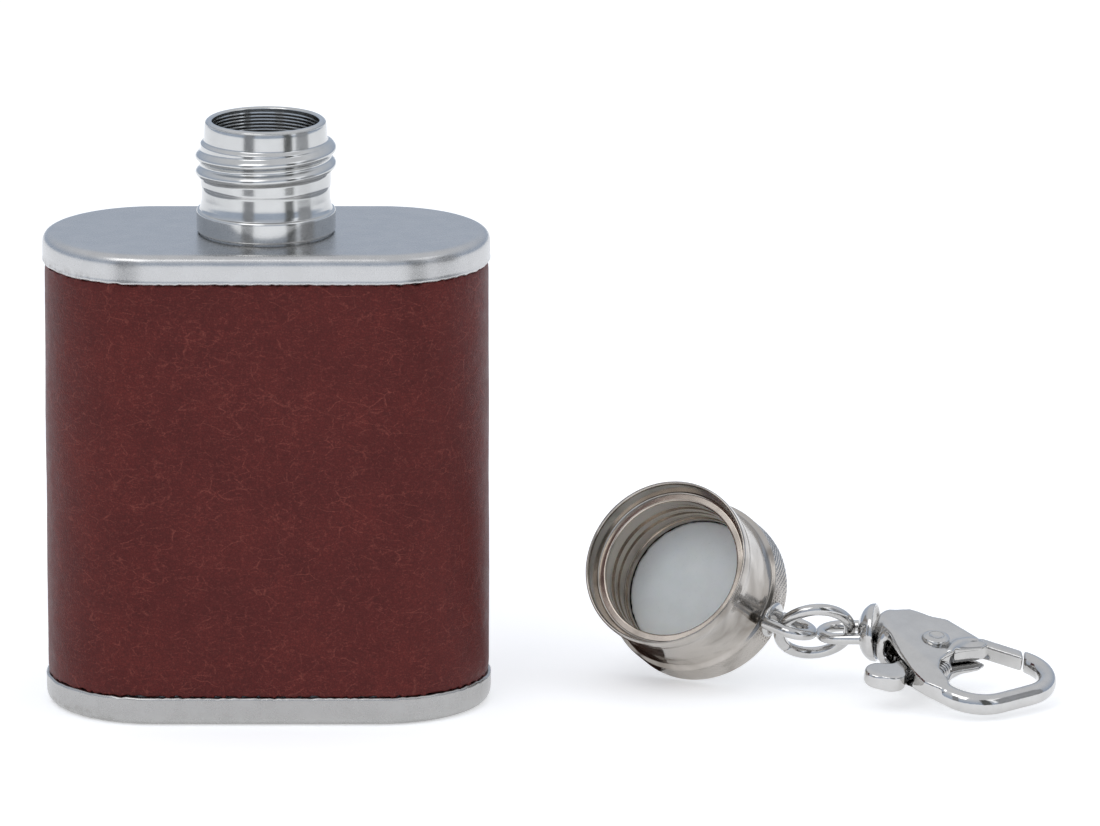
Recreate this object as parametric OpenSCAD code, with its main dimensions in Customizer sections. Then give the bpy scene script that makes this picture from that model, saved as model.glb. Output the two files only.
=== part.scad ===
// Pocket hip flask on a key clasp, in millimetres.
// The origin is the centre of the flask's underside, +Z is up, +X runs along the
// flask's width and -Y is the front. The screw cap is off the neck and lies beside
// the flask, tipped back on its knurled end, with its ring and snap hook.

/* [Flask body] */
// Width of the flask, over the steel bands
body_w = 42; // [40:1:60]
// Depth of the flask, front to back
body_d = 21; // [20:0.5:26]
// Height from the underside to the flat top
body_h = 45.4; // [36:0.2:80]
// Height of the steel band round each end
band_h = 2.75; // [2.25:0.25:5]
// Thickness of the leather, and of the bands that it lies flush with
leather_t = 0.9; // [0.7:0.1:1.2]
// Radius of the rolled edge at the top
top_roll_r = 0.8; // [0.4:0.1:1]
// Radius of the rolled edge at the bottom
bottom_roll_r = 1.25; // [0.8:0.05:1.4]

/* [Neck] */
// Radius of the drinking bore
bore_r = 5; // [4:0.25:6]
// Radius of the collar that the closed cap stops on
collar_r = 6.52; // [6.4:0.01:7.5]
// Height of the neck above the flat top
neck_h = 10.7; // [10:0.1:14]
// Rise of the screw thread in one turn
thread_pitch = 1.5; // [1:0.25:2]
// Radius over the crests of the neck's thread
thread_crest_r = 6.6; // [6.4:0.05:6.6]

/* [Cap] */
// Radius of the knurled end of the cap
cap_r = 8.45; // [8.2:0.05:10]
// Length of the cap from its closed end to its rim
cap_l = 10.8; // [10:0.1:14]
// Length of the knurled band
knurl_l = 3.4; // [3:0.1:4]
// Depth of the flare inside the rim, down to the threaded insert
flare_l = 1.6; // [1:0.1:2]
// Distance from the cap's axis to the tip of its lug
lug_reach = 13; // [12.9:0.05:13.1]
// Gap between the side of the flask and the middle of the cap's closed end
cap_gap = 20.4; // [18:0.1:40]
// How far the cap's mouth leans from straight up, in degrees
cap_tilt = 58.7; // [50:0.1:70]

/* [Ring and snap hook] */
// Radius of the jump ring at the middle of its wire
ring_r = 3.36; // [3.3:0.01:3.4]
// Thickness of the jump ring's wire
ring_wire_d = 1.12; // [0.9:0.01:1.14]
// Width of the hook's bar, in the plane of the hook
hook_bar_w = 1.9; // [1.4:0.1:2]
// Radius of the round part of the snap hook's body
hook_body_r = 2.9; // [2.8:0.1:3.1]
// Thickness of the lever, which is a little less than its slot
lever_t = 1.6; // [1.2:0.1:1.6]

/* [Hidden] */
$fn = 96;

// Flask body
tank_wall_t = 0.5;
end_plate_t = 0.9;
leather_gap = 0.1;    // between the leather's cut edge and each band
seam_w = 0.2;         // butt seam down the middle of the back
end_r = body_d / 2;
end_x = (body_w - body_d) / 2;

// Neck, as heights above the flat top
spigot_r = 6;         // passes through the top plate
groove_r = 6.2;
groove_h = 0.15;
collar_h = 2.2;
cove_top = 3.2;
thread_root_r = 6.2;
thread_foot = 4.6;
thread_top = 8.75;
lip_r = 5.73;
lip_round_r = 0.6;
thread_start = 5;
thread_turns = 2.2;

// Cap, as heights above its closed end
cap_end_t = 1.7;
liner_t = 0.85;
cap_bore_r = 7.3;
cap_mouth_r = 7.88;
cap_rim_r = 8.1;
waist_r = 7.88;
insert_lip_r = 6.6;
insert_root_r = 6.9;
insert_crest_r = 6.68;
insert_foot = cap_end_t + liner_t;
insert_top = cap_l - flare_l;
cap_yaw = -115.3;
cap_x = body_w / 2 + cap_gap;
cap_y = 9.4;
cap_z = cap_r * sin(cap_tilt);

// Lug on the side of the cap
lug_turn = 76.6;
lug_height = 1.9;
lug_twist = -63.5;
lug_stud_r = 0.9;
lug_flange_r = 1.75;
lug_flange_t = 0.3;
eye_r = 1.75;         // radius of both eyes, at the middle of their bar
eye_bar_r = 0.48;
lug_eye_at = lug_reach - eye_r - eye_bar_r;

// Jump ring
ring_at = [cap_x + 10.3, 3.25, 5.47];
ring_turn = [-52.7, -8.4, 0];

// Swivel eye. The swivel joint is in the middle of the collar's wall.
swivel_at = [cap_x + 16.8, 3.8, 5.19];
eye_turn = [4.5, -2.6, -10.7];
eye_back = 4.14;      // from the collar back to the middle of the eye's round end
eye_leg_l = 1.8;
bell_r = 2.75;
bell_rim = -0.75;
post_r = 0.65;
post_head_r = 1.2;
post_head_t = 0.35;

// Snap hook, drawn flat. It points along +X, and its gate is on the +Y side.
hook_turn = [8.35, 11.19, -28];
collar_t = 1.2;       // wall that the post runs through
collar_hole_r = 1.05;
collar_room_r = 1.85;
slot_t = lever_t + 0.2;
hook_bar_h = 2.1;
loop_r = 3.75;        // both bends of the hook, at the middle of the bar
loop_end = [13.45, -0.1];
loop_straight = 3.7;
loop_lean = -25;      // where the straight part meets both bends
loop_tip = 102;
loop_root = -102;
loop_side = loop_end + loop_straight * [sin(loop_lean), -cos(loop_lean)];
pivot_at = [5.9, -0.75];
gate_reach = 8.4;     // from the pivot to the gate's end
gate_end_gap = 0.1;
pin_r = 0.55;
pin_play = 0.06;
pin_head_r = 1.3;
pin_head_t = 0.6;
pin_top = 2.2;
gate_w = 1.3;
spring_at = [7.9, -4.5];  // its foot, against the cheeks
spring_r = 0.62;
spring_wire_d = 0.26;
spring_l = 2.3;
spring_coils = 4;

// ---------- Shared shapes ----------

// A closed solid through a list of rings that have the same number of points.
module sweep(rings) {
    n = len(rings[0]);
    last = len(rings) - 1;
    points = [for (ring = rings) each ring];
    sides = [
        for (i = [0:last - 1], j = [0:n - 1])
            let (k = (j + 1) % n)
                each [
                    [i * n + j, i * n + k, (i + 1) * n + k],
                    [i * n + j, (i + 1) * n + k, (i + 1) * n + j]
                ]
    ];
    first_face = [for (j = [n - 1:-1:0]) j];
    last_face = [for (j = [0:n - 1]) last * n + j];
    polyhedron(points, concat(sides, [first_face, last_face]));
}

// Points along an arc, from one angle to another.
function arc(middle, r, from, to, steps) =
    [for (i = [0:steps])
        let (a = from + (to - from) * i / steps)
            [middle[0] + r * cos(a), middle[1] + r * sin(a)]];

// The flask's plan: a square with a half circle on each end.
module stadium(inset) {
    for (side = [-1, 1]) translate([side * end_x, 0]) circle(end_r - inset);
    square([2 * end_x, body_d - 2 * inset], center = true);
}

// A profile, drawn as radius against height, carried round the flask's plan.
module around_flask() {
    for (turn = [0, 180]) rotate([0, 0, turn]) translate([end_x, 0, 0])
        rotate([0, 0, -90]) rotate_extrude(angle = 180) children();
    rotate([90, 0, 90]) linear_extrude(2 * end_x, center = true) {
        children();
        mirror([1, 0]) children();
    }
}

// Half of a pressed end: a plate with a rolled edge and a skirt.
module end_profile(roll_r) {
    difference() {
        union() {
            square([end_r - roll_r, band_h]);
            translate([0, roll_r]) square([end_r, band_h - roll_r]);
            translate([end_r - roll_r, roll_r]) circle(roll_r);
        }
        translate([-1, end_plate_t]) square([end_r + 1 - leather_t, band_h]);
    }
}

// A rib that climbs along a cylinder and fades out at both ends. Its foot is buried
// in the wall that it stands on.
module thread_rib(foot_r, crest_r, start, turns) {
    steps = 24;
    count = round(turns * steps);
    half_foot = 0.6;
    half_crest = 0.2;
    sweep([
        for (i = [0:count])
            let (
                a = 360 * i / steps,
                z = start + thread_pitch * i / steps,
                fade = min(1, 0.08 + i / 6, 0.08 + (count - i) / 6),
                top_r = foot_r + (crest_r - foot_r) * fade,
                out = [[foot_r, -half_foot], [top_r, -half_crest * fade],
                    [top_r, half_crest * fade], [foot_r, half_foot]],
                ring = crest_r > foot_r ? out : [for (j = [3:-1:0]) out[j]]
            )
                [for (p = ring) [p[0] * cos(a), p[0] * sin(a), z + p[1]]]
    ]);
}

// A round ring of wire about the Z axis.
module wire_ring(r, wire_r) {
    rotate_extrude() translate([r, 0]) circle(wire_r, $fn = 32);
}

// A loop of bar with two straight legs. Its round end points along +X.
module bail(leg_l) {
    rotate([0, 0, -90]) rotate_extrude(angle = 180)
        translate([eye_r, 0]) circle(eye_bar_r, $fn = 32);
    for (side = [-1, 1]) translate([-leg_l, side * eye_r, 0]) rotate([0, 90, 0])
        cylinder(h = leg_l, r = eye_bar_r, $fn = 32);
}

module in_cap() {
    translate([cap_x, cap_y, cap_z]) rotate([0, cap_tilt, cap_yaw]) children();
}

module in_eye() {
    translate(swivel_at) rotate(eye_turn) children();
}

module in_hook() {
    translate(swivel_at) rotate(hook_turn) children();
}

// ---------- Flask ----------

module bottom_cap() {
    color("silver") around_flask() end_profile(bottom_roll_r);
}

module top_cap() {
    color("silver") translate([0, 0, body_h])
        difference() {
            mirror([0, 0, 1]) around_flask() end_profile(top_roll_r);
            translate([0, 0, -2 * end_plate_t]) cylinder(h = 3 * end_plate_t, r = spigot_r);
        }
}

module tank_wall() {
    color("gainsboro") translate([0, 0, end_plate_t])
        linear_extrude(body_h - 2 * end_plate_t)
            difference() {
                stadium(leather_t);
                stadium(leather_t + tank_wall_t);
            }
}

module leather_wrap() {
    foot = band_h + leather_gap;
    color([0.36, 0.17, 0.16]) translate([0, 0, foot])
        linear_extrude(body_h - 2 * foot)
            difference() {
                stadium(0);
                stadium(leather_t);
                translate([-seam_w / 2, 0]) square([seam_w, body_d]);
            }
}

module neck() {
    chamfer = 0.15;
    cove_r = 0.8;
    profile = concat(
        [
            [bore_r, -end_plate_t],
            [spigot_r, -end_plate_t],
            [spigot_r, 0],
            [groove_r, 0],
            [groove_r, groove_h],
            [collar_r - chamfer, groove_h],
            [collar_r, groove_h + chamfer],
            [collar_r, collar_h - chamfer],
            [collar_r - chamfer, collar_h]
        ],
        arc([spigot_r + cove_r, cove_top], cove_r, -130, -180, 6),
        [
            [spigot_r, thread_foot - 0.2],
            [thread_root_r, thread_foot],
            [thread_root_r, thread_top - 0.15],
            [lip_r, thread_top]
        ],
        arc([lip_r - lip_round_r, neck_h - lip_round_r], lip_round_r, 0, 90, 6),
        [[bore_r, neck_h]]
    );
    color("silver") translate([0, 0, body_h]) {
        rotate_extrude() polygon(profile);
        thread_rib(thread_root_r - 0.1, thread_crest_r, thread_start, thread_turns);
    }
}

// ---------- Cap ----------

module cap_shell() {
    edge = 0.3;
    knurl_top = knurl_l + 0.3;
    waist = [
        [waist_r + 0.12, knurl_top + 0.3],
        [waist_r, knurl_top + 1],
        [waist_r, cap_l - 4],
        [waist_r + 0.06, cap_l - 2],
        [cap_rim_r, cap_l - 1]
    ];
    profile = concat(
        [[0, 0], [cap_r - edge, 0], [cap_r, edge], [cap_r, knurl_l]],
        waist,
        arc([cap_rim_r - 0.15, cap_l - 0.15], 0.15, 0, 90, 4),
        [
            [cap_mouth_r, cap_l],
            [cap_bore_r, insert_top],
            [cap_bore_r, cap_end_t],
            [0, cap_end_t]
        ]
    );
    color("gainsboro") in_cap()
        difference() {
            rotate_extrude() polygon(profile);
            translate([0, 0, lug_height]) rotate([0, 90, lug_turn])
                translate([0, 0, cap_bore_r - 1]) cylinder(h = 3, r = lug_stud_r, $fn = 48);
        }
}

module cap_insert() {
    lip_t = 0.5;
    color("lightgray") in_cap() {
        rotate_extrude() polygon([
            [cap_bore_r, insert_foot],
            [cap_bore_r, insert_top],
            [insert_lip_r + 0.15, insert_top],
            [insert_lip_r, insert_top - 0.15],
            [insert_lip_r, insert_top - lip_t],
            [insert_root_r, insert_top - 2 * lip_t],
            [insert_root_r, insert_foot]
        ]);
        thread_rib(insert_root_r + 0.1, insert_crest_r, insert_foot + 0.9, 2.4);
    }
}

module cap_liner() {
    color("whitesmoke") in_cap() translate([0, 0, cap_end_t])
        cylinder(h = liner_t, r = cap_bore_r);
}

module cap_lug() {
    flange_top = cap_r + lug_flange_t;
    color("gray") in_cap() translate([0, 0, lug_height]) rotate([0, 0, lug_turn]) {
        difference() {
            rotate([0, 90, 0]) translate([0, 0, cap_r - 0.6])
                cylinder(h = flange_top - cap_r + 0.6, r = lug_flange_r, $fn = 48);
            cylinder(h = knurl_l + 3, r = cap_r, center = true);
        }
        rotate([0, 90, 0]) translate([0, 0, cap_bore_r + 0.05])
            cylinder(h = flange_top - cap_bore_r - 0.1, r = lug_stud_r, $fn = 48);
        translate([lug_eye_at, 0, 0]) rotate([lug_twist, 0, 0])
            bail(lug_eye_at - cap_r - 0.05);
    }
}

// ---------- Ring and snap hook ----------

module jump_ring() {
    color("gainsboro") translate(ring_at) rotate(ring_turn)
        wire_ring(ring_r, ring_wire_d / 2);
}

// The eye, its bell and its post are one piece. The post runs through the hook's
// collar, and its head holds it there.
module swivel_eye() {
    neck_from = eye_leg_l - eye_back;
    head_at = collar_t / 2 + 0.75;
    leg_into_bell = 0.75;
    color("silver") in_eye() {
        translate([-eye_back, 0, 0]) mirror([1, 0, 0]) bail(eye_leg_l + leg_into_bell);
        rotate([0, 90, 0]) rotate_extrude() polygon([
            [0, neck_from],
            [1.2, neck_from],
            [1.65, -1.9],
            [2.25, -1.45],
            [bell_r, bell_rim - 0.35],
            [bell_r, bell_rim],
            [bell_r - 0.3, bell_rim],
            [2.1, -1.2],
            [1.5, -1.6],
            [post_r, -1.75],
            [post_r, head_at],
            [post_head_r, head_at],
            [post_head_r, head_at + post_head_t],
            [0, head_at + post_head_t + 0.1]
        ]);
    }
}

// The hook's bar is one sweep round both bends, from its root to its tip.
module hook_loop() {
    sides = 16;
    side_steps = 9;
    end_steps = 13;
    into_body = 2.8;
    root = loop_side + loop_r * [cos(loop_root), sin(loop_root)];
    path = concat(
        [root + into_body * [sin(loop_root), -cos(loop_root)]],
        arc(loop_side, loop_r, loop_root, loop_lean, side_steps),
        arc(loop_end, loop_r, loop_lean, loop_tip, end_steps)
    );
    headings = concat(
        [loop_root],
        [for (i = [0:side_steps]) loop_root + (loop_lean - loop_root) * i / side_steps],
        [for (i = [0:end_steps]) loop_lean + (loop_tip - loop_lean) * i / end_steps]
    );
    sweep([
        for (i = [0:len(path) - 1])
            [for (j = [0:sides - 1])
                let (
                    b = 360 * (j + 0.5) / sides,
                    side = hook_bar_w / 2 * cos(b),
                    up = hook_bar_h / 2 * sin(b)
                )
                    [
                        path[i][0] + side * cos(headings[i]),
                        path[i][1] + side * sin(headings[i]),
                        up
                    ]]
    ]);
}

// The cheeks, seen from above.
module cheek_plan() {
    polygon([
        [1.2, -2.4], [2, -2.9], [4.3, -5], [6.5, -6.7], [8.5, -7.7], [10.4, -7.8],
        [10.4, -6.4], [8.5, -4.9], [7.9, -3.4], [7.9, -1.8], [8.5, -0.4],
        [9.8, 1.4], [9.9, 2.5], [4.9, 3.4], [3.6, 2.7], [1.2, 2.4]
    ]);
}

// The cheeks get thinner towards the hook.
module cheek_side() {
    polygon([
        [-1, -2.2], [2.5, -2.1], [10, -1.35], [11.2, -0.9],
        [11.2, 0.9], [10, 1.35], [2.5, 2.1], [-1, 2.2]
    ]);
}

// They also get thinner towards the arm of the hook.
module cheek_end() {
    polygon([
        [-9, -0.3], [-7, -0.7], [-5.2, -1.35], [-2.5, -2.2], [6, -2.2],
        [6, 2.2], [-2.5, 2.2], [-7.2, 1.1], [-9, 0.7]
    ]);
}

// Where the lever moves. It is open towards the hook's mouth and towards the thumb.
module lever_slot() {
    polygon([
        [1.6, -9], [1.6, 1.4], [3.2, 2], [5.6, 2.3], [7.6, 5], [12, 5],
        [12, -2], [8.9, -4.6], [7, -4.6], [6.5, -9]
    ]);
}

// The gate swings inwards, so its end and the hook's nose are curved about the pivot.
module nose_cut() {
    linear_extrude(2 * hook_bar_h, center = true)
        intersection() {
            translate(pivot_at) circle(gate_reach + gate_end_gap);
            translate([0, 1]) square(4 * loop_r);
        }
}

module hook_body() {
    collar_r = 2.4;
    edge_r = 0.9;
    front = -collar_t / 2;
    room_at = collar_t / 2;
    color("gainsboro") in_hook()
        difference() {
            union() {
                intersection() {
                    union() {
                        linear_extrude(3 * hook_body_r, center = true) cheek_plan();
                        rotate([0, 90, 0]) rotate_extrude() polygon(concat(
                            [[0, 4.8], [0, front]],
                            arc([collar_r - edge_r, front + edge_r], edge_r, -90, 0, 8),
                            [[hook_body_r, 1], [hook_body_r, 4.4], [hook_body_r - 0.4, 4.8]]
                        ));
                    }
                    rotate([90, 0, 0]) linear_extrude(40, center = true) cheek_side();
                    rotate([90, 0, 90]) linear_extrude(40, center = true) cheek_end();
                }
                difference() {
                    hook_loop();
                    nose_cut();
                }
            }
            linear_extrude(slot_t, center = true) lever_slot();
            rotate([0, 90, 0]) {
                translate([0, 0, -2]) cylinder(h = 4, r = collar_hole_r, $fn = 48);
                translate([0, 0, room_at]) cylinder(h = 2, r = collar_room_r, $fn = 48);
            }
            translate([pivot_at[0], pivot_at[1], -hook_body_r])
                cylinder(h = 2 * hook_body_r, r = pin_r, $fn = 48);
            for (side = [0, 180]) translate([pivot_at[0], pivot_at[1], 0])
                rotate([side, 0, 0]) translate([0, 0, pin_top - pin_head_t])
                    cylinder(h = 2, r = pin_head_r + 0.02, $fn = 48);
        }
}

module bar(from, to, w) {
    along = to - from;
    translate(from) rotate(atan2(along[1], along[0])) translate([0, -w / 2])
        square([norm(along), w]);
}

module lever_plan() {
    hub_r = 1.8;
    tab_at = [4.75, -7.5];
    tab_r = 1.55;
    gate_bend = [8.8, 3.35];
    gate_end = [14, 3.68];
    translate(pivot_at) circle(hub_r);
    translate(tab_at) circle(tab_r);
    bar(pivot_at, tab_at, 1.8);
    bar(pivot_at, gate_bend, 1.8);
    translate(gate_bend) circle(gate_w / 2);
    bar(gate_bend, gate_end, gate_w);
}

module lever() {
    color("silver") in_hook()
        difference() {
            linear_extrude(lever_t, center = true) intersection() {
                translate(pivot_at) circle(gate_reach);
                lever_plan();
            }
            translate([pivot_at[0], pivot_at[1], -lever_t])
                cylinder(h = 2 * lever_t, r = pin_r + pin_play, $fn = 48);
        }
}

module lever_pin() {
    color("silver") in_hook() translate([pivot_at[0], pivot_at[1], 0]) {
        cylinder(h = 2 * pin_top - 0.2, r = pin_r, center = true, $fn = 48);
        for (side = [-1, 1]) translate([0, 0, side * (pin_top - pin_head_t / 2)])
            cylinder(h = pin_head_t, r = pin_head_r, center = true, $fn = 48);
    }
}

// A small coil between the hook's body and the lever, which it pushes shut.
module lever_spring() {
    steps = 10;
    sides = 6;
    wire_r = spring_wire_d / 2;
    count = spring_coils * steps;
    color("dimgray") in_hook() translate([spring_at[0], spring_at[1], 0])
        rotate([-90, 0, 0])
            sweep([
                for (i = [0:count])
                    let (
                        a = 360 * i / steps,
                        z = wire_r + (spring_l - 2 * wire_r) * i / count
                    )
                        [for (j = [0:sides - 1])
                            let (
                                b = 360 * j / sides,
                                r = spring_r + wire_r * cos(b)
                            )
                                [r * cos(a), r * sin(a), z + wire_r * sin(b)]]
            ]);
}

bottom_cap();
tank_wall();
top_cap();
neck();
leather_wrap();
cap_shell();
cap_insert();
cap_liner();
cap_lug();
jump_ring();
swivel_eye();
hook_body();
lever();
lever_pin();
lever_spring();
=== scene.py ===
import math

import bmesh
import bpy
import numpy as np
from mathutils import Euler, Matrix, Vector, noise


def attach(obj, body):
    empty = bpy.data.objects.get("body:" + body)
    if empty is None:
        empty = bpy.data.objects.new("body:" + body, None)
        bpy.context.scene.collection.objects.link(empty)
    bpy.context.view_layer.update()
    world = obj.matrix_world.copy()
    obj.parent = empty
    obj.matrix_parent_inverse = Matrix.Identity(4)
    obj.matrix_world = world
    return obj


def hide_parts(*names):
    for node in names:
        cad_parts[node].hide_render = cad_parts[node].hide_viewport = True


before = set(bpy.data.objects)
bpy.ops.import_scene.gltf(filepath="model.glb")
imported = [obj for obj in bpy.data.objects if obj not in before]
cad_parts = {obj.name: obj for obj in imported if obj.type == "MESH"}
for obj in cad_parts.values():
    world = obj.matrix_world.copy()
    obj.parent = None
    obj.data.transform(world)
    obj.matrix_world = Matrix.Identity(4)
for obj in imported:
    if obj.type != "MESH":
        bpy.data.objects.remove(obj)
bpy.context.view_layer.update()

# Every length below is in millimetres. A mesh is scaled to metres when it is made.
MM = 0.001

# The flask's plan is a square with a half circle on each end.
END_R = 10.5
END_X = 10.5
TOP = 45.4
BAND_H = 2.75

BAND_CORNER = 1.6  # how far the side band's rolled corner reaches onto the flat end
NECK_HOLE_R = 6.1

# Cap, in its own frame: the closed end is at 0 and the mouth is at CAP_L.
CAP_R = 8.45
CAP_L = 10.8
CAP_LEAN = 58.7
KNURL_TOP = 3.4
LUG_HEIGHT = 1.9
THREAD_PITCH = 1.5

# The links.
EYE_MIDDLE_R = 1.82
EYE_BAR_R = 0.55
LUG_EYE_AT = 10.77  # from the cap's middle line
EYE_BACK = 4.14  # from the swivel's middle to its eye's middle
RING_R = 3.36
RING_WIRE_R = 0.56

# The clasp. The pivot and the spring are in the hook's own frame.
SWIVEL_AT = (58.2, 3.8, 5.19)
PIVOT_AT = (5.9, -0.75, 0)
SPRING_AT = (7.9, -4.5, 0)
SPRING_L = 2.3


def turned(at, turns):
    """The place of a piece: turned about X, Y and Z in degrees, then moved."""
    turn = Euler([math.radians(a) for a in turns], "XYZ").to_matrix().to_4x4()
    return Matrix.Translation(Vector(at)) @ turn


FLASK = Matrix.Identity(4)
CAP = turned((41.4, 9.4, CAP_R * math.sin(math.radians(CAP_LEAN))), (0, CAP_LEAN, -115.3))
LUG = CAP @ turned((0, 0, LUG_HEIGHT), (0, 0, 76.6))
RING = turned((51.7, 3.25, 5.47), (-52.7, -8.4, 0))
EYE = turned(SWIVEL_AT, (4.5, -2.6, -10.7))
HOOK = turned(SWIVEL_AT, (8.35, 11.19, -28))
PIVOT = HOOK @ turned(PIVOT_AT, (0, 0, 0))


# ---------- Mesh tools ----------


def smoothstep(low, high, x):
    t = min(1.0, max(0.0, (x - low) / (high - low)))
    return t * t * (3 - 2 * t)


def bumpy(x, y, z, scale):
    """Even, repeatable noise from -1 to 1."""
    return noise.noise(Vector((x, y, z)) * scale)


def rounded(corners, span=0.6, steps=6):
    """A dense outline through corners, each given as (across, up, corner radius)."""
    outline = []
    for i, (x, y, radius) in enumerate(corners):
        here = Vector((x, y))
        if radius == 0 or i in (0, len(corners) - 1):
            outline.append(here)
            continue
        before = Vector(corners[i - 1][:2])
        after = Vector(corners[i + 1][:2])
        start = here + (before - here).normalized() * radius
        end = here + (after - here).normalized() * radius
        for k in range(steps + 1):
            t = k / steps
            outline.append((1 - t) ** 2 * start + 2 * t * (1 - t) * here + t * t * end)
    dense = [outline[0]]
    for point in outline[1:]:
        gap = point - dense[-1]
        count = max(1, math.ceil(gap.length / span))
        last = dense[-1]
        dense += [last + gap * k / count for k in range(1, count + 1)]
    return [tuple(p) for p in dense]


def grid(rows, closed=True):
    """Vertices and faces of a sheet through rows of points. A closed sheet joins up along its rows."""
    rows = np.array(rows, float)
    height, width = rows.shape[:2]
    faces = []
    for i in range(height - 1):
        for j in range(width if closed else width - 1):
            n = (j + 1) % width
            above = (i + 1) * width
            faces.append((i * width + j, i * width + n, above + n, above + j))
    return rows.reshape(-1, 3), faces


def lathe(profile, steps=192, extra=None):
    """Turns a profile of (radius, height) about Z. extra(angle, radius, height) adds to the radius."""
    rows = []
    for radius, height in profile:
        row = []
        for j in range(steps):
            a = 2 * math.pi * j / steps
            r = radius + (extra(a, radius, height) if extra else 0)
            row.append((r * math.cos(a), r * math.sin(a), height))
        rows.append(row)
    return grid(rows)


def plan(arc_steps=72, flat_steps=56):
    """Points round the flask from the middle of its back, as (middle line point, outward direction)."""
    half = flat_steps // 2
    points = [((-END_X * k / half, 0), (0, 1)) for k in range(half)]
    points += [
        ((-END_X, 0), (math.cos(a), math.sin(a)))
        for a in (math.pi / 2 + math.pi * k / arc_steps for k in range(arc_steps))
    ]
    points += [
        ((-END_X + 2 * END_X * k / flat_steps, 0), (0, -1)) for k in range(flat_steps)
    ]
    points += [
        ((END_X, 0), (math.cos(a), math.sin(a)))
        for a in (-math.pi / 2 + math.pi * k / arc_steps for k in range(arc_steps))
    ]
    points += [((END_X * (1 - k / half), 0), (0, 1)) for k in range(half)]
    return points


def round_flask(profile, outline, shift, closed=True):
    """Carries a profile of (depth below the outer surface, height) round the flask.
    shift(x, y, height) says how much to add to the depth and to the height."""
    rows = []
    for depth, height in profile:
        row = []
        for (cx, cy), (nx, ny) in outline:
            more, up = shift(cx + nx * END_R, cy + ny * END_R, height)
            r = END_R - depth - more
            row.append((cx + nx * r, cy + ny * r, height + up))
        rows.append(row)
    return grid(rows, closed)


def tube(path, radius, sides=20, flat_side=(0, 0, 1)):
    """A round bar along a path that nowhere runs along flat_side.
    radius may be a number or a function of the share of the way along."""
    path = [Vector(p) for p in path]
    count = len(path)
    up = Vector(flat_side).normalized()
    rows = []
    for i, point in enumerate(path):
        before = path[max(i - 1, 0)]
        after = path[min(i + 1, count - 1)]
        along = (after - before).normalized()
        side = up.cross(along).normalized()
        over = along.cross(side)
        r = radius(i / (count - 1)) if callable(radius) else radius
        rows.append([
            point + side * r * math.cos(a) + over * r * math.sin(a)
            for a in (2 * math.pi * j / sides for j in range(sides))
        ])
    vertices, faces = grid(rows)
    faces.append(tuple(range(sides - 1, -1, -1)))
    faces.append(tuple(range((count - 1) * sides, count * sides)))
    return vertices, faces


def piece(name, shapes, place, paint, body, nodes):
    """Makes one object from shapes, in place, and says what it stands for."""
    made = bmesh.new()
    for vertices, faces in shapes:
        points = [made.verts.new((place @ Vector(v)) * MM) for v in vertices]
        for face in faces:
            made.faces.new([points[k] for k in face])
    bmesh.ops.remove_doubles(made, verts=made.verts, dist=1e-6)
    bmesh.ops.recalc_face_normals(made, faces=made.faces)
    for face in made.faces:
        face.smooth = True
    mesh = bpy.data.meshes.new(name)
    made.to_mesh(mesh)
    made.free()
    return finished(name, mesh, place, paint, body, nodes)


def finished(name, mesh, place, paint, body, nodes):
    """Links a piece's mesh, which is already in place, and says what it stands for."""
    obj = bpy.data.objects.new(name, mesh)
    bpy.context.scene.collection.objects.link(obj)
    mesh.materials.clear()
    mesh.materials.append(paint)
    keep_own_place(mesh, place)
    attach(obj, body)
    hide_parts(*nodes)
    return obj


def keep_own_place(mesh, place):
    """Stores each point's place in the piece's own frame, in millimetres, for its texture."""
    back = place.inverted()
    own = mesh.attributes.new("own_place", "FLOAT_VECTOR", "POINT")
    for vertex, stored in zip(mesh.vertices, own.data):
        stored.vector = back @ (vertex.co / MM)


def bake(obj):
    """Applies an object's modifiers."""
    bpy.context.view_layer.update()
    seen = obj.evaluated_get(bpy.context.evaluated_depsgraph_get())
    mesh = bpy.data.meshes.new_from_object(seen)
    obj.modifiers.clear()
    obj.data = mesh
    for face in mesh.polygons:
        face.use_smooth = True


def melt(obj, place, voxel, smoothing):
    """Joins an object's shapes into one skin with soft edges, as a casting has."""
    remesh = obj.modifiers.new("one skin", "REMESH")
    remesh.mode = "VOXEL"
    remesh.voxel_size = voxel * MM
    smooth = obj.modifiers.new("soft edges", "SMOOTH")
    smooth.factor = 0.5
    smooth.iterations = smoothing
    bake(obj)
    keep_own_place(obj.data, place)
    return obj


def moved(shape, place):
    """A shape carried to its place."""
    vertices, faces = shape
    turn = np.array(place.to_3x3())
    return vertices @ turn.T + np.array(place.translation), faces


def cast_copy(name, node, place, paint, body, voxel, smoothing, added=()):
    """A soft-edged casting in the shape of a CAD node, with any added shapes grown into it."""
    made = bmesh.new()
    made.from_mesh(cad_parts[node].data)
    bmesh.ops.remove_doubles(made, verts=made.verts, dist=1e-6)
    for vertices, faces in (moved(shape, place) for shape in added):
        corners = [made.verts.new(Vector(v) * MM) for v in vertices]
        for face in faces:
            made.faces.new([corners[i] for i in face])
    mesh = bpy.data.meshes.new(name)
    made.to_mesh(mesh)
    made.free()
    obj = finished(name, mesh, place, paint, body, [node])
    return melt(obj, place, voxel, smoothing)


# ---------- Materials ----------


def socket_name(word):
    """A keyword such as base_color as the shader's socket is called, such as Base Color."""
    return word.replace("_", " ").title().replace("Ior", "IOR")


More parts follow.
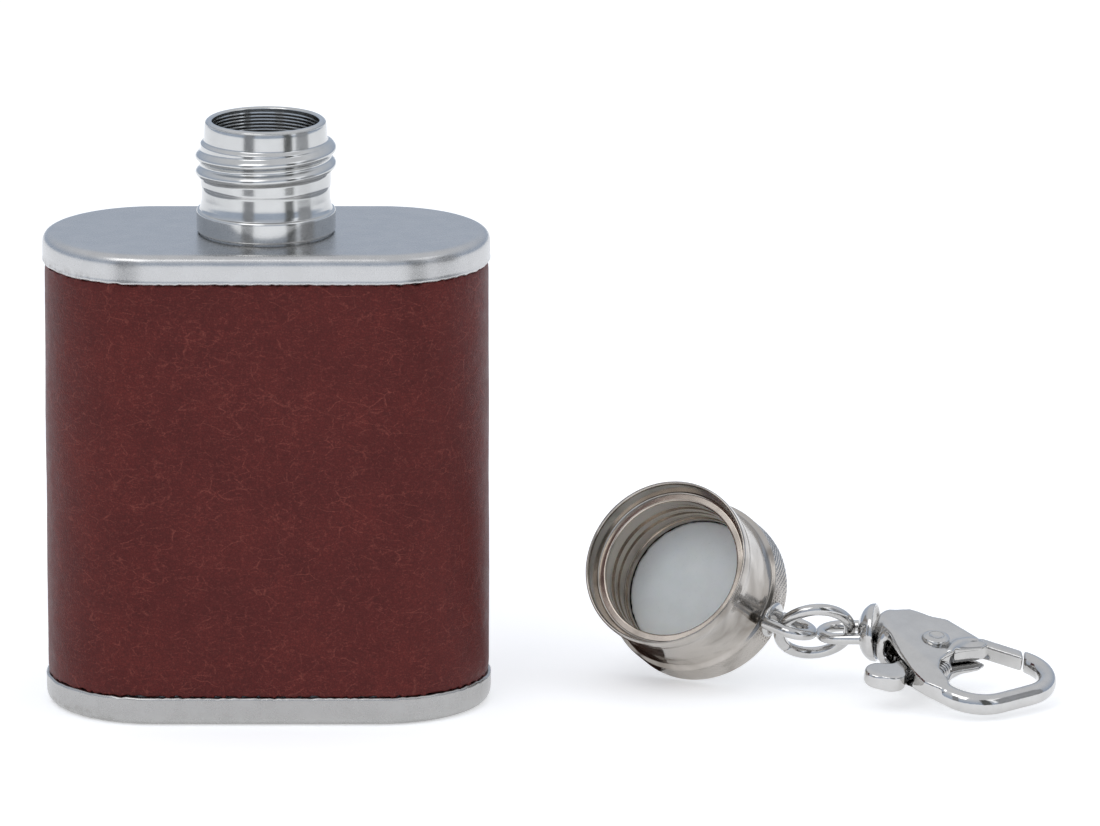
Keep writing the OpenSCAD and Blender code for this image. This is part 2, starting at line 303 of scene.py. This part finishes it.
class Paint:
    """A node material on one Principled shader. Lengths in its textures are in millimetres.
    A piece's texture is placed by its own_place; that of a CAD node or the floor by the row frame."""

    def __init__(self, name, in_row_frame=False, **sockets):
        self.material = bpy.data.materials.new(name)
        self.material.use_nodes = True
        self.nodes = self.material.node_tree.nodes
        self.links = self.material.node_tree.links
        self.shader = self.nodes["Principled BSDF"]
        for socket, value in sockets.items():
            self.shader.inputs[socket_name(socket)].default_value = value
        if in_row_frame:
            coordinates = self.nodes.new("ShaderNodeTexCoord").outputs["Object"]
            scale = (1 / MM, 1 / MM, 1 / MM)
            self.place = self.add("Mapping", {"Vector": coordinates, "Scale": scale}).outputs[0]
        else:
            attribute = self.add("Attribute", {}, attribute_name="own_place")
            self.place = attribute.outputs["Vector"]

    def add(self, kind, inputs, **settings):
        node = self.nodes.new("ShaderNode" + kind)
        for setting, value in settings.items():
            setattr(node, setting, value)
        for socket, value in inputs.items():
            if isinstance(value, bpy.types.NodeSocket):
                self.links.new(value, node.inputs[socket])
            else:
                node.inputs[socket].default_value = value
        return node

    def stretched(self, x=1, y=1, z=1):
        return self.add("Mapping", {"Vector": self.place, "Scale": (x, y, z)}).outputs[0]

    def wavering(self, amount, scale, x=1, y=1, z=1):
        """The place stretched along X, Y and Z, then moved about by up to amount."""
        field = self.add("TexNoise", {"Vector": self.place, "Scale": scale, "Detail": 4.0})
        shift = self.add("VectorMath", {0: field.outputs["Color"], "Scale": amount}, operation="SCALE")
        inputs = {0: self.stretched(x, y, z), 1: shift.outputs[0]}
        return self.add("VectorMath", inputs, operation="ADD").outputs[0]

    def noise(self, scale, detail=3, roughness=0.55, distortion=0, at=None):
        inputs = {
            "Vector": at or self.place, "Scale": scale, "Detail": detail,
            "Roughness": roughness, "Distortion": distortion
        }
        return self.add("TexNoise", inputs).outputs["Fac"]

    def cells(self, scale, at=None):
        """How far each point is from the nearest edge between cells."""
        inputs = {"Vector": at or self.place, "Scale": scale}
        return self.add("TexVoronoi", inputs, feature="DISTANCE_TO_EDGE").outputs["Distance"]

    def ramp(self, value, stops):
        node = self.add("ValToRGB", {"Fac": value})
        band = node.color_ramp
        while len(band.elements) < len(stops):
            band.elements.new(0.5)
        for element, (at, shade) in zip(band.elements, stops):
            element.position = at
            element.color = (*shade, 1) if isinstance(shade, tuple) else (shade,) * 3 + (1,)
        return node.outputs["Color"]

    def math(self, operation, a, b=0.0):
        return self.add("Math", {0: a, 1: b}, operation=operation).outputs[0]

    def mix(self, share, a, b):
        node = self.add("Mix", {0: share}, data_type="RGBA")
        for socket, value in ((6, a), (7, b)):
            if isinstance(value, bpy.types.NodeSocket):
                self.links.new(value, node.inputs[socket])
            else:
                node.inputs[socket].default_value = (*value, 1)
        return node.outputs[2]

    def bump(self, height, depth, under=None):
        """Raises the surface by depth millimetres where height is 1."""
        inputs = {"Height": height, "Strength": 1.0, "Distance": depth * MM}
        if under:
            inputs["Normal"] = under
        return self.add("Bump", inputs).outputs[0]

    def use(self, **outputs):
        for socket, value in outputs.items():
            self.links.new(value, self.shader.inputs[socket_name(socket)])
        return self.material


def leather():
    p = Paint("leather", specular_ior_level=0.12)
    patches = p.noise(0.11, detail=4, roughness=0.6)
    clouds = p.noise(0.45, detail=5, roughness=0.7, distortion=0.6)
    mottle = p.noise(3.2, detail=5, roughness=0.7, distortion=0.5)
    tone = p.math("ADD", p.math("MULTIPLY", patches, 0.3), p.math("MULTIPLY", clouds, 0.3))
    tone = p.math("ADD", tone, p.math("MULTIPLY", mottle, 0.4))
    base = p.ramp(tone, [(0.34, (0.068, 0.0115, 0.0105)), (0.5, (0.095, 0.0160, 0.0142)),
                         (0.66, (0.130, 0.0225, 0.0185))])
    # Pale creases: the edges of wavering cells, wider than high, broken where the leather is smooth.
    veins = 0.0
    for scale, width, share in ((0.4, 0.030, 0.75), (0.85, 0.050, 0.65), (1.8, 0.085, 0.5)):
        edges = p.cells(scale, at=p.wavering(1.0 / scale ** 0.5, 0.9 * scale, 0.75, 0.75, 1.6))
        line = p.ramp(edges, [(0.0, 1.0), (width, 0.0)])
        broken = p.ramp(p.noise(1.3 * scale, detail=4, roughness=0.7), [(0.48, 0.0), (0.60, share)])
        veins = p.math("MAXIMUM", veins, p.math("MULTIPLY", line, broken))
    colour = p.mix(veins, base, (0.210, 0.052, 0.040))
    pores = p.cells(3.6)
    grain = p.ramp(pores, [(0.0, 0.0), (0.16, 1.0)])
    colour = p.mix(p.math("MULTIPLY", p.math("SUBTRACT", 1.0, grain), 0.45), colour,
                   (0.040, 0.0095, 0.0085))
    fine = p.noise(9.0, detail=3)
    rough = p.ramp(p.math("ADD", p.math("MULTIPLY", clouds, 0.7), p.math("MULTIPLY", fine, 0.3)),
                   [(0.35, 0.34), (0.65, 0.50)])
    normal = p.bump(p.noise(0.35, detail=2), 0.10)
    normal = p.bump(grain, 0.012, normal)
    normal = p.bump(fine, 0.006, normal)
    normal = p.bump(veins, 0.012, normal)
    return p.use(base_color=colour, roughness=rough, normal=normal)


def steel(name, tint, rough=0.16, marks=0.5, line=(1, 1, 1), line_depth=0.0006, stain=None,
          in_row_frame=False):
    """Polished metal with fine lines from polishing, faint cloudy wear and small scratches.
    line is how far the polishing lines are stretched along X, Y and Z."""
    p = Paint(name, in_row_frame, metallic=1.0)
    cloud = p.noise(0.5, detail=4, roughness=0.6)
    specks = p.noise(6.0, detail=4, roughness=0.7)
    lines = p.noise(4.0, detail=4, roughness=0.7, at=p.stretched(*line))
    dark = tuple(c * 0.91 for c in tint)
    colour = p.mix(p.ramp(cloud, [(0.35, 0.0), (0.7, 1.0)]), dark, tint)
    scratch_field = p.noise(0.9, detail=2, distortion=2.2)
    off = p.math("ABSOLUTE", p.math("SUBTRACT", scratch_field, 0.5))
    scratches = p.math(
        "MULTIPLY",
        p.ramp(off, [(0.0, 1.0), (0.004, 0.0)]),
        p.ramp(p.noise(0.7, detail=2), [(0.52, 0.0), (0.6, 1.0)])
    )
    colour = p.mix(p.math("MULTIPLY", scratches, 0.35 * marks), colour, tuple(c * 0.55 for c in tint))
    if stain:
        colour = p.mix(stain(p), colour, (0.11, 0.085, 0.06))
    total = p.math("ADD", p.math("MULTIPLY", cloud, 0.5), p.math("MULTIPLY", specks, 0.5))
    roughness = p.ramp(total, [(0.35, rough * 0.85), (0.65, rough * 1.25)])
    normal = p.bump(lines, line_depth)
    normal = p.bump(specks, 0.0008 * marks, normal)
    normal = p.bump(scratches, -0.002 * marks, normal)
    return p.use(base_color=colour, roughness=roughness, normal=normal)


def edge_stain(low):
    """Brown smudges on a band above the height low, at the left end of the flask."""
    def stain(p):
        axes = p.add("SeparateXYZ", {"Vector": p.place}).outputs
        end = p.ramp(p.math("MULTIPLY", axes[0], -1 / (END_X + END_R)), [(0.62, 0.0), (0.9, 1.0)])
        height = p.ramp(p.math("SUBTRACT", axes[2], low), [(0.0, 1.0), (1.0, 0.0)])
        blots = p.ramp(p.noise(1.3, detail=6, roughness=0.75), [(0.46, 0.0), (0.66, 0.85)])
        return p.math("MULTIPLY", p.math("MULTIPLY", end, height), blots)
    return stain


def tarnish(p):
    """Broad brown clouds, faint, as on handled nickel plate."""
    return p.ramp(p.noise(0.16, detail=3, roughness=0.55, distortion=0.8), [(0.48, 0.0), (0.68, 0.5)])


def liner_disc():
    p = Paint("liner_disc", specular_ior_level=0.45, subsurface_weight=0.15)
    cloud = p.noise(0.5, detail=5, roughness=0.6)
    grit = p.noise(5.0, detail=4, roughness=0.7)
    colour = p.ramp(cloud, [(0.35, (0.93, 0.905, 0.87)), (0.65, (0.98, 0.955, 0.92))])
    marks = p.ramp(grit, [(0.62, 0.0), (0.74, 0.6)])
    colour = p.mix(marks, colour, (0.66, 0.66, 0.65))
    rough = p.ramp(grit, [(0.4, 0.42), (0.6, 0.58)])
    return p.use(base_color=colour, roughness=rough, normal=p.bump(grit, 0.01))


STAINLESS = (0.565, 0.56, 0.555)
# The foot band's steel is the stainless above, painted darker: painted shade for the dimmer light down by
# the floor.
SHADED_FOOT_STEEL = (0.455, 0.45, 0.44)
NICKEL = (0.52, 0.485, 0.445)
PALE_NICKEL = (0.60, 0.59, 0.575)

paint_leather = leather()
paint_top = steel("band_steel", STAINLESS, 0.26, line=(0.25, 2, 2), line_depth=0.0011,
                  stain=edge_stain(TOP - BAND_H))
# The foot band's darker tint is painted shade; its heavier marks and lines are wear.
paint_bottom = steel("foot_steel_shaded", SHADED_FOOT_STEEL, 0.27, marks=1.0, line=(0.5, 2, 2),
                     line_depth=0.0016, stain=edge_stain(0.4))
paint_neck = steel("turned_steel", (0.60, 0.60, 0.59), 0.16, line=(0.05, 0.05, 3), line_depth=0.0009)
paint_cap = steel("cap_nickel", NICKEL, 0.15, line=(0.05, 0.05, 3), line_depth=0.001, stain=tarnish)
paint_insert = steel("insert_nickel", (0.55, 0.485, 0.42), 0.16, line=(0.05, 0.05, 3), line_depth=0.001,
                     stain=tarnish)
paint_clasp = steel("clasp_nickel", PALE_NICKEL, 0.10, marks=0.8)
paint_pin = steel("pin_nickel", PALE_NICKEL, 0.12, line=(0.3, 0.3, 3))
paint_spring = steel("spring_wire", (0.62, 0.61, 0.60), 0.2, line=(3, 3, 3))
paint_tank = steel("tank_steel", (0.55, 0.55, 0.56), 0.35, marks=1.0, line=(0.2, 0.2, 4), line_depth=0.003,
                   in_row_frame=True)
paint_liner = liner_disc()


# ---------- Flask ----------


def ragged(x, y, scale, size):
    """The unevenness of a cut edge."""
    return size * (bumpy(x, y, 0.0, scale) + 0.5 * bumpy(x, y, 7.0, scale * 2.7))


def make_band(name, node, paint, roll, flip):
    """A pressed steel end: its side band, its rolled corner of radius roll and its flat plate.
    The one that is flipped goes on top, with a hole for the neck."""
    edge = rounded([
        (1.0, BAND_H - 0.15, 0), (0.9, BAND_H, 0.04), (0.10, BAND_H, 0.06), (-0.04, BAND_H - 0.16, 0.08),
        (0.0, BAND_H - 0.42, 0.1), (0.0, 0.0, roll), (BAND_CORNER, 0.0, 0)
    ], span=0.3, steps=9)

    def shift(x, y, height):
        near_edge = smoothstep(BAND_H - 0.5, BAND_H - 0.1, height)
        dent = 0.012 * bumpy(x, y, height, 0.35) * smoothstep(0.3, 1.0, height)
        return dent, near_edge * ragged(x, y, 2.1, 0.10)

    outline = plan()
    side = round_flask(edge, outline, shift)
    reach = END_R - BAND_CORNER
    rim = [np.array((cx + nx * reach, cy + ny * reach, 0.0)) for (cx, cy), (nx, ny) in outline]
    hole_r = NECK_HOLE_R if flip else 0.0
    hole = [hole_r * v / np.linalg.norm(v) for v in rim]
    plate = grid([[a + (b - a) * t for a, b in zip(rim, hole)] for t in np.linspace(0, 1, 9)])
    shapes = [side, plate]
    if flip:
        shapes = [(v * np.array((1, 1, -1)) + np.array((0, 0, TOP)), f) for v, f in shapes]
    return piece(name, shapes, FLASK, paint, "flask", [node])


def make_leather():
    """The wrap: a skin with soft, slightly torn edges and one butt seam down the back."""
    low, high = BAND_H + 0.02, TOP - BAND_H - 0.02
    profile = rounded([
        (0.95, low + 0.1, 0), (0.5, low, 0.1), (0.24, low + 0.12, 0.1), (0.17, low + 0.8, 0.3),
        (0.15, (low + high) / 2, 0.5), (0.17, high - 0.8, 0.3), (0.24, high - 0.12, 0.1),
        (0.5, high, 0.1), (0.95, high - 0.1, 0)
    ], span=0.45)

    def shift(x, y, height):
        from_edge = min(height - low, high - height)
        torn = 1 - smoothstep(0.05, 0.6, from_edge)
        side = 1 if height > (low + high) / 2 else -1
        tear = ragged(x + 30 * side, y, 1.4, 0.2) + 0.8 * max(0, bumpy(x, y, 40 * side, 3.1) - 0.2)
        wave = 0.05 * bumpy(x, y, height, 0.12) + 0.012 * bumpy(x, y, height, 0.9)
        to_seam = abs(x) if y > 0 else END_X
        tuck = 0.35 * (1 - smoothstep(0.1, 0.55, to_seam))
        return wave + tuck, side * torn * tear

    outline = plan(96, 84)
    gap = 0.1
    outline[0] = ((-gap, 0), (0, 1))
    outline.append(((gap, 0), (0, 1)))
    skin = round_flask(profile, outline, shift, closed=False)
    return piece("leather_wrap_skin", [skin], FLASK, paint_leather, "flask", ["leather_wrap"])


def thread(angle, height, start, pitch, turns, half_width):
    """How far a point stands up on a thread's rounded rib, from 0 to 1."""
    most = 0.0
    for lap in range(math.ceil(turns) + 1):
        along = angle / (2 * math.pi) + lap
        if along > turns:
            break
        off = abs(height - start - pitch * along) / half_width
        if off < 1:
            fade = smoothstep(0, 0.22, along) * smoothstep(0, 0.22, turns - along)
            most = max(most, fade * (1 - off * off) ** 1.5)
    return most


def make_neck():
    outer = rounded([
        (6.0, -0.9, 0), (6.2, 0.0, 0), (6.2, 0.14, 0), (6.42, 0.14, 0.03), (6.52, 0.28, 0.08),
        (6.52, 2.02, 0.08), (6.42, 2.16, 0.05), (6.26, 2.2, 0.04), (6.16, 2.46, 0.1),
        (6.03, 3.1, 0.3), (6.0, 4.3, 0.2), (6.1, 4.55, 0.15), (6.12, 8.5, 0.1), (5.78, 8.78, 0.12),
        (5.72, 10.3, 0.25), (5.55, 10.7, 0.3), (5.12, 10.7, 0.1), (5.0, 10.55, 0.06)
    ], span=0.09)
    inner = rounded([(5.0, 10.5, 0), (5.0, -0.9, 0)], span=0.05)

    def cut(angle, radius, height):
        if radius > 5.9:
            return 0.5 * thread(angle, height, 5.0, THREAD_PITCH, 2.3, 0.66)
        if radius <= 5.01 and height > 5:
            return -0.035 * thread(angle, height, 5.2, 0.32, 16, 0.14)
        return 0

    shape = lathe(outer + inner, 256, cut)
    place = turned((0, 0, TOP), (0, 0, 0))
    return piece("neck_turned", [shape], place, paint_neck, "flask", ["neck"])


make_band("bottom_cap_pressed", "bottom_cap", paint_bottom, 1.25, False)
make_band("top_cap_pressed", "top_cap", paint_top, 1.05, True)
make_leather()
make_neck()
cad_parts["tank_wall"].data.materials.clear()
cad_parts["tank_wall"].data.materials.append(paint_tank)


# ---------- Cap ----------


def make_cap():
    outer = rounded([
        (0.0, 0.0, 0), (8.1, 0.0, 0.15), (CAP_R, 0.32, 0.12), (CAP_R, KNURL_TOP, 0.06),
        (8.02, 3.72, 0.15), (7.86, 4.5, 0.4), (7.82, 6.6, 0.8), (7.9, 8.6, 0.5), (8.1, 9.8, 0.3),
        (8.1, 10.68, 0.1), (8.02, CAP_L, 0.06), (7.9, CAP_L, 0.05), (7.78, 10.62, 0.1),
        (7.42, 9.2, 0.05), (7.3, 9.15, 0.03), (7.3, 1.7, 0.05), (0.0, 1.7, 0)
    ], span=0.075)
    diamonds = 96

    def knurl(angle, radius, height):
        if radius < CAP_R - 0.01 or not 0.3 < height < KNURL_TOP:
            return 0
        depth = smoothstep(0.3, 0.6, height) * (1 - smoothstep(KNURL_TOP - 0.25, KNURL_TOP, height))
        turn = angle * diamonds / (2 * math.pi)
        rise = height * diamonds / (2 * math.pi * CAP_R)
        a = abs(((turn + rise) % 1) - 0.5) * 2
        b = abs(((turn - rise) % 1) - 0.5) * 2
        return -0.07 * depth * (1 - min(a, b, 0.55) / 0.55)

    shape = lathe(outer, diamonds * 8, knurl)
    return piece("cap_shell_turned", [shape], CAP, paint_cap, "cap", ["cap_shell"])


def make_insert():
    profile = rounded([
        (7.28, 9.1, 0), (7.28, 9.2, 0.02), (6.72, 9.2, 0.06), (6.6, 9.05, 0.06), (6.6, 8.75, 0.06),
        (6.86, 8.4, 0.1), (6.9, 3.4, 0.1), (6.7, 3.2, 0.06), (6.7, 2.62, 0.03), (7.25, 2.56, 0)
    ], span=0.08)

    def ribs(angle, radius, height):
        return -0.24 * thread(angle, height, 3.9, THREAD_PITCH, 2.6, 0.5) if radius > 6.84 else 0

    shape = lathe(profile, 224, ribs)
    return piece("cap_insert_turned", [shape], CAP, paint_insert, "cap", ["cap_insert"])


def make_liner():
    profile = [(r, 2.5 - 0.05 * smoothstep(4.5, 6.7, r)) for r in np.linspace(0, 6.55, 24)]
    profile += [(6.68, 2.38), (6.7, 2.2), (6.7, 1.7)]

    def torn(angle, radius, height):
        x, y = math.cos(angle), math.sin(angle)
        return smoothstep(6.0, 6.6, radius) * (0.09 * bumpy(x, y, 3.0, 5) + 0.05 * bumpy(x, y, 9.0, 17))

    shape = lathe(profile, 224, torn)
    return piece("cap_liner_disc", [shape], CAP, paint_liner, "cap", ["cap_liner"])


def eye_loop(leg):
    """A loop of bar: a half ring with a straight leg on each side, drawn round the +X end."""
    path = [(-leg + leg * k / 6, -EYE_MIDDLE_R, 0) for k in range(6)]
    path += [
        (EYE_MIDDLE_R * math.cos(a), EYE_MIDDLE_R * math.sin(a), 0)
        for a in (math.radians(-90 + 180 * k / 36) for k in range(37))
    ]
    path += [(-leg * k / 6, EYE_MIDDLE_R, 0) for k in range(1, 7)]
    return tube(path, EYE_BAR_R)


def make_lug():
    """The stud and flange on the cap's side, with the eye that the ring goes through."""
    flange = lathe(rounded([
        (0, -0.5, 0), (1.5, -0.5, 0.05), (1.72, -0.3, 0.1), (1.72, 0.06, 0.1), (1.3, 0.3, 0.3), (0, 0.32, 0)
    ], span=0.2), 64)
    outward = turned((CAP_R, 0, 0), (0, 90, 0))
    loop = eye_loop(2.25)
    loop_place = turned((LUG_EYE_AT, 0, 0), (-63.5, 0, 0))
    obj = piece("cap_lug_eye", [moved(flange, outward), moved(loop, loop_place)], LUG, paint_clasp,
                "cap", ["cap_lug"])
    return melt(obj, LUG, 0.07, 5)


make_cap()
make_insert()
make_liner()
make_lug()


# ---------- Ring and snap hook ----------


def make_ring():
    """A ring of round wire, bent until its two cut ends nearly meet."""
    half_gap = 0.6
    turn = 360 - 2 * half_gap
    path = [
        (RING_R * math.cos(a), RING_R * math.sin(a), 0)
        for a in (math.radians(150 + half_gap + turn * k / 160) for k in range(161))
    ]

    def wire(share):
        return RING_WIRE_R - 0.04 * (1 - smoothstep(0, 0.006, min(share, 1 - share)))

    shape = tube(path, wire, 32)
    return piece("jump_ring_wire", [shape], RING, paint_clasp, "ring", ["jump_ring"])


def make_eye():
    """The swivel's eye, its cup-shaped bell and the post that holds it in the hook."""
    bell = lathe(rounded([
        (0, -2.3, 0), (1.2, -2.28, 0.25), (2.0, -1.98, 0.4), (2.55, -1.5, 0.4), (2.76, -1.08, 0.2),
        (2.78, -0.62, 0.08), (2.56, -0.6, 0.05), (2.4, -0.95, 0.1), (1.7, -1.45, 0.1), (0.65, -1.6, 0.1),
        (0.65, 1.35, 0.05), (1.2, 1.35, 0.05), (1.2, 1.7, 0.1), (0, 1.8, 0)
    ], span=0.12), 96)
    bell = moved(bell, turned((0, 0, 0), (0, 90, 0)))
    back = turned((-EYE_BACK, 0, 0), (0, 0, 180))
    obj = piece("swivel_eye_cast", [bell, moved(eye_loop(2.3), back)], EYE, paint_clasp,
                "swivel", ["swivel_eye"])
    return melt(obj, EYE, 0.065, 5)


def make_pin():
    """A rivet with a domed head at each end and a dimple in the top one."""
    shape = lathe(rounded([
        (0, -2.2, 0), (0.9, -2.18, 0.2), (1.28, -1.95, 0.1), (1.28, -1.62, 0.03), (0.55, -1.6, 0.02),
        (0.55, 1.6, 0.02), (1.28, 1.62, 0.03), (1.28, 1.98, 0.12), (0.85, 2.2, 0.15), (0.62, 2.12, 0.1),
        (0.35, 2.0, 0.1), (0, 1.98, 0)
    ], span=0.1), 96)
    return piece("lever_rivet", [shape], PIVOT, paint_pin, "hook", ["lever_pin"])


def make_spring():
    coils, steps = 5, 24
    radius, wire = 0.62, 0.13
    length = SPRING_L - 2 * wire
    count = coils * steps
    path = [
        (radius * math.cos(2 * math.pi * k / steps), wire + length * k / count,
         -radius * math.sin(2 * math.pi * k / steps))
        for k in range(count + 1)
    ]
    shape = tube(path, wire, 12, flat_side=(0, 1, 0))
    place = HOOK @ turned(SPRING_AT, (0, 0, 0))
    return piece("lever_spring_coil", [shape], place, paint_spring, "hook",
                 ["lever_spring"])


def cheek_fold(side):
    """The raised fold on a cheek, along the edge of the opening next to the rivet."""
    middle, bend, steps = (11.3, -0.6), 3.5, 24
    path = []
    for k in range(steps + 1):
        angle = math.radians(205 - 75 * k / steps)
        height = 1.55 - 0.144 * k / steps
        across = middle[0] + bend * math.cos(angle)
        path.append((across, middle[1] + bend * math.sin(angle), side * height))
    return tube(path, lambda share: 0.55 - 0.2 * abs(2 * share - 1), 16)


def thumb_pad():
    """The outer end of the thumb tab, which makes the tab an oval."""
    pad = lathe(rounded([
        (0, -0.78, 0), (1.5, -0.78, 0.35), (1.5, 0.78, 0.35), (0, 0.78, 0)
    ], span=0.2), 64)
    return moved(pad, turned((-2.05, -7.15, 0), (0, 0, 0)))


make_ring()
make_eye()
cast_copy("hook_body_cast", "hook_body", HOOK, paint_clasp, "hook", 0.085, 70,
          [cheek_fold(1), cheek_fold(-1)])
cast_copy("lever_cast", "lever", PIVOT, paint_clasp, "lever", 0.07, 80,
          [thumb_pad()])
make_pin()
make_spring()


# ---------- Floor, light and camera ----------


def stage_plane(name, size, at, turns, material):
    half = size[0] / 2, size[1] / 2
    corners = [(a * half[0], b * half[1], 0) for a, b in ((-1, -1), (1, -1), (1, 1), (-1, 1))]
    mesh = bpy.data.meshes.new(name)
    mesh.from_pydata([Vector(c) * MM for c in corners], [], [(0, 1, 2, 3)])
    obj = bpy.data.objects.new(name, mesh)
    bpy.context.scene.collection.objects.link(obj)
    place = turned(at, turns)
    place.translation *= MM
    obj.matrix_world = place
    mesh.materials.append(material)
    return obj


def floor_paint():
    p = Paint("floor", True, roughness=0.9, specular_ior_level=0.0, emission_strength=0.45)
    shade = p.ramp(p.noise(0.002), [(0.3, 0.88), (0.7, 0.9)])
    return p.use(base_color=shade, emission_color=shade)


def card_paint(name, shade):
    p = Paint(name, True, roughness=1.0, specular_ior_level=0.0)
    darker = tuple(0.8 * c for c in shade)
    return p.use(base_color=p.ramp(p.noise(0.02), [(0.3, darker), (0.7, shade)]))


def reflected_card(name, size, at, turns, shade):
    """A card for polished metal to reflect. The camera doesn't see it, and it darkens nothing else."""
    card = stage_plane(name, size, at, turns, card_paint(name, shade))
    card.visible_camera = False
    card.visible_diffuse = False
    card.visible_shadow = False
    return card


def softbox(name, size, at, aim, watts):
    data = bpy.data.lights.new(name, "AREA")
    data.shape = "RECTANGLE"
    data.size = size[0] * MM
    data.size_y = size[1] * MM
    data.energy = watts
    lamp = bpy.data.objects.new(name, data)
    bpy.context.scene.collection.objects.link(lamp)
    lamp.location = Vector(at) * MM
    lamp.rotation_euler = (Vector(aim) - Vector(at)).to_track_quat("-Z", "Y").to_euler()
    lamp.visible_camera = False
    return lamp


stage_plane("floor", (12000, 12000), (0, 0, 0), (0, 0, 0), floor_paint())
reflected_card("card_right", (55, 190), (130, -140, 95), (90, 0, 43), (0.16, 0.16, 0.15))
reflected_card("card_far_right", (120, 200), (230, -70, 100), (90, 0, 75), (0.45, 0.45, 0.45))
reflected_card("card_left", (60, 180), (-85, -150, 90), (90, 0, -28), (0.38, 0.38, 0.38))
# A brown card on the floor under the cap, seen only in the cap's lower side: a painted reflection of the
# shade beneath the cap.
reflected_card("shade_card_floor", (10, 13), (32, 10, 0.2), (0, 0, 0), (0.10, 0.055, 0.042))

softbox("key", (420, 420), (-260, -420, 620), (10, 0, 20), 0.9)
softbox("fill", (300, 500), (520, -300, 380), (30, 0, 15), 0.35)

world = bpy.data.worlds.new("studio")
world.use_nodes = True
sky = world.node_tree.nodes["Background"]
coordinates = world.node_tree.nodes.new("ShaderNodeTexCoord")
split = world.node_tree.nodes.new("ShaderNodeSeparateXYZ")
fade = world.node_tree.nodes.new("ShaderNodeValToRGB")
fade.color_ramp.elements[0].position = 0.12
fade.color_ramp.elements[0].color = (0.46, 0.54, 0.67, 1)
fade.color_ramp.elements[1].position = 0.8
fade.color_ramp.elements[1].color = (0.80, 0.82, 0.86, 1)
world.node_tree.links.new(coordinates.outputs["Generated"], split.inputs[0])
world.node_tree.links.new(split.outputs[2], fade.inputs[0])
world.node_tree.links.new(fade.outputs[0], sky.inputs[0])
sky.inputs["Strength"].default_value = 1.0
bpy.context.scene.world = world
bpy.context.scene.view_settings.view_transform = "Standard"

lens = bpy.data.cameras.new("camera")
lens.lens = 393
lens.sensor_width = 36
lens.clip_start = 0.05
lens.clip_end = 50
camera = bpy.data.objects.new("camera", lens)
bpy.context.scene.collection.objects.link(camera)
camera.location = Vector((26.6, -1093.5, 312.5)) * MM
look_at = Vector((26.6, 0, 27.7)) * MM
camera.rotation_euler = (look_at - camera.location).to_track_quat("-Z", "Y").to_euler()
bpy.context.scene.camera = camera
